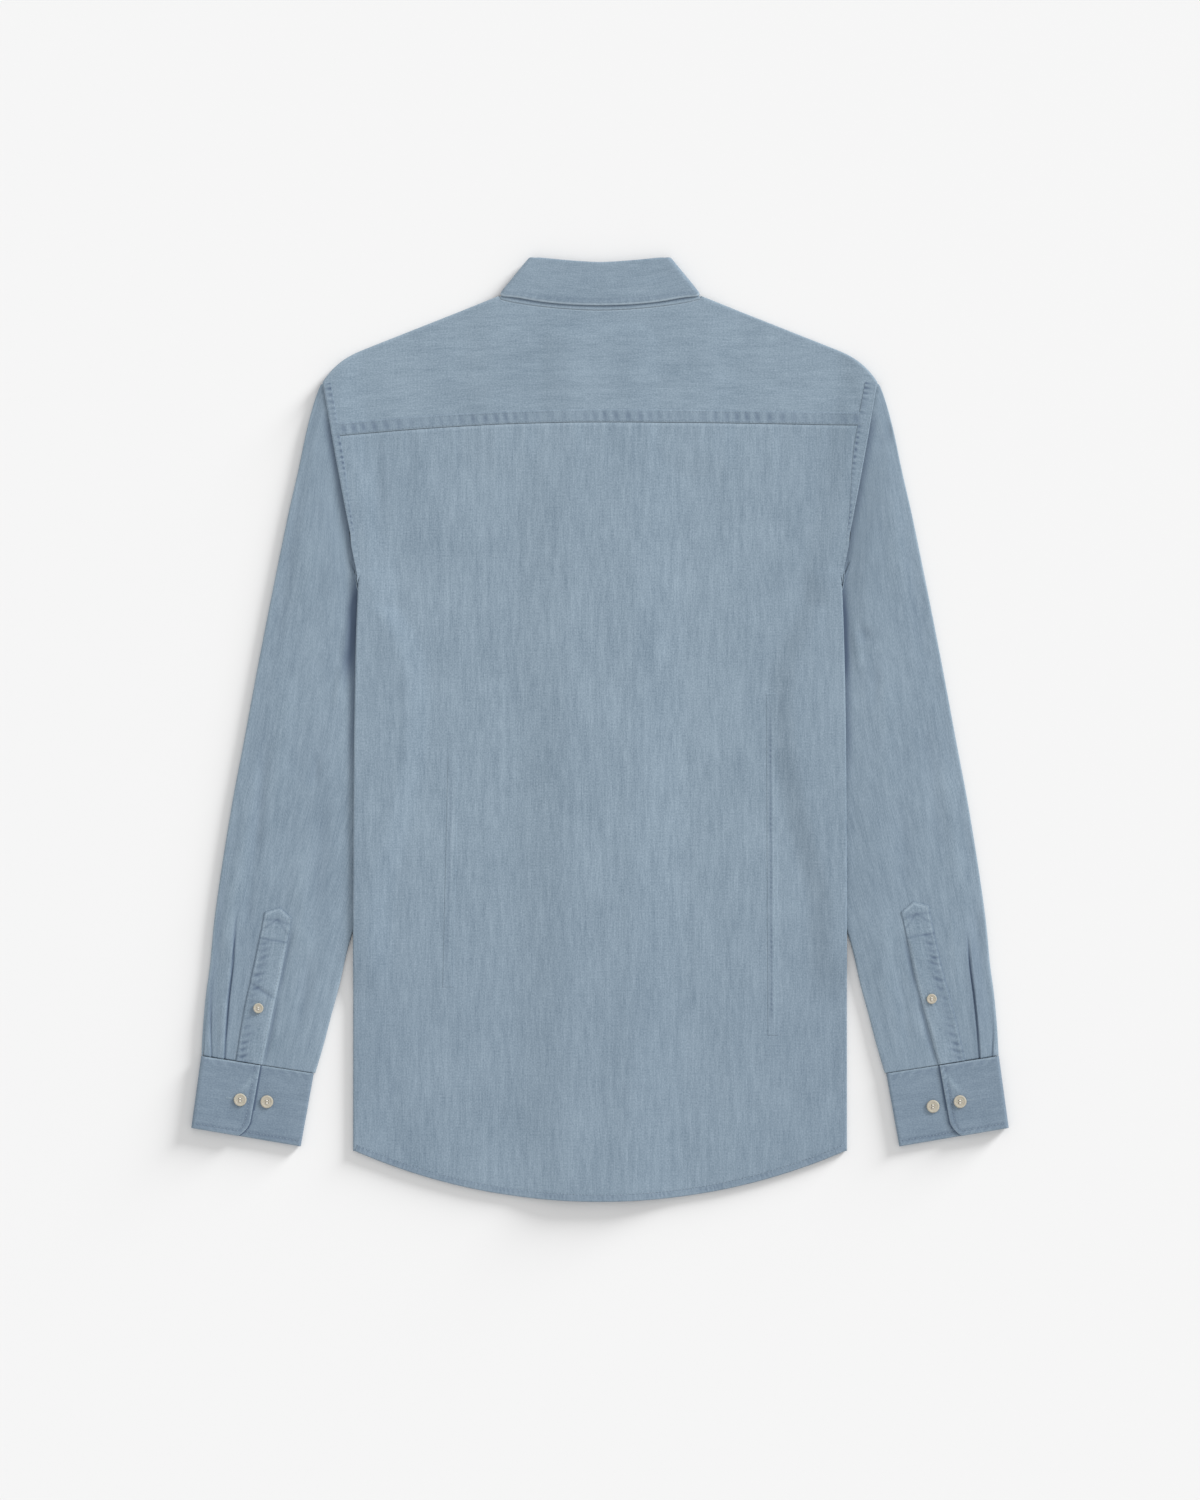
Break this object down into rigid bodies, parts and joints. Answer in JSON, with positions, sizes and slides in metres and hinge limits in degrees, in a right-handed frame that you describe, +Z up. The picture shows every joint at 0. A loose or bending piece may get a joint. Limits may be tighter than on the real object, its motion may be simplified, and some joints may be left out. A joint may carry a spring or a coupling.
{
  "type": "denim shirt",
  "caption": "Long-sleeved denim shirt laid face down, with yoke, turned-down collar, pleated cuffs and pointed sleeve plackets.",
  "frame": {"origin": "centre of the shirt's outline on the surface that it lies on", "axes": "+Y from the hem to the collar, +Z up, away from the surface; +X to the right in the view from above"},
  "size_m": [0.7106, 0.8203, 0.0088],
  "materials": {
    "denim_body": "light washed denim, soft matte twill with pale slubs, streaked along the panel",
    "denim_band": "light washed denim, soft matte twill with pale slubs, streaked across, a little darker",
    "button": "cream resin with a soft gloss"
  },
  "bodies": {
    "root": {"body_back": "denim_body", "yoke": "denim_band", "front_left": "denim_body", "front_right": "denim_body", "front_placket": "denim_band", "collar_stand": "denim_band", "collar_leaf": "denim_band", "sleeve_left": "denim_body", "sleeve_right": "denim_body", "sleeve_placket_left": "denim_body", "sleeve_placket_right": "denim_body", "cuff_left": "denim_band", "cuff_right": "denim_band", "cuff_button_left_a": "button", "cuff_button_left_b": "button", "cuff_button_right_a": "button", "cuff_button_right_b": "button", "placket_button_left": "button", "placket_button_right": "button", "front_button_1": "button", "front_button_2": "button", "front_button_3": "button", "front_button_4": "button", "front_button_5": "button", "front_button_6": "button", "front_button_7": "button", "stand_button": "button"}
  },
  "joints": []
}
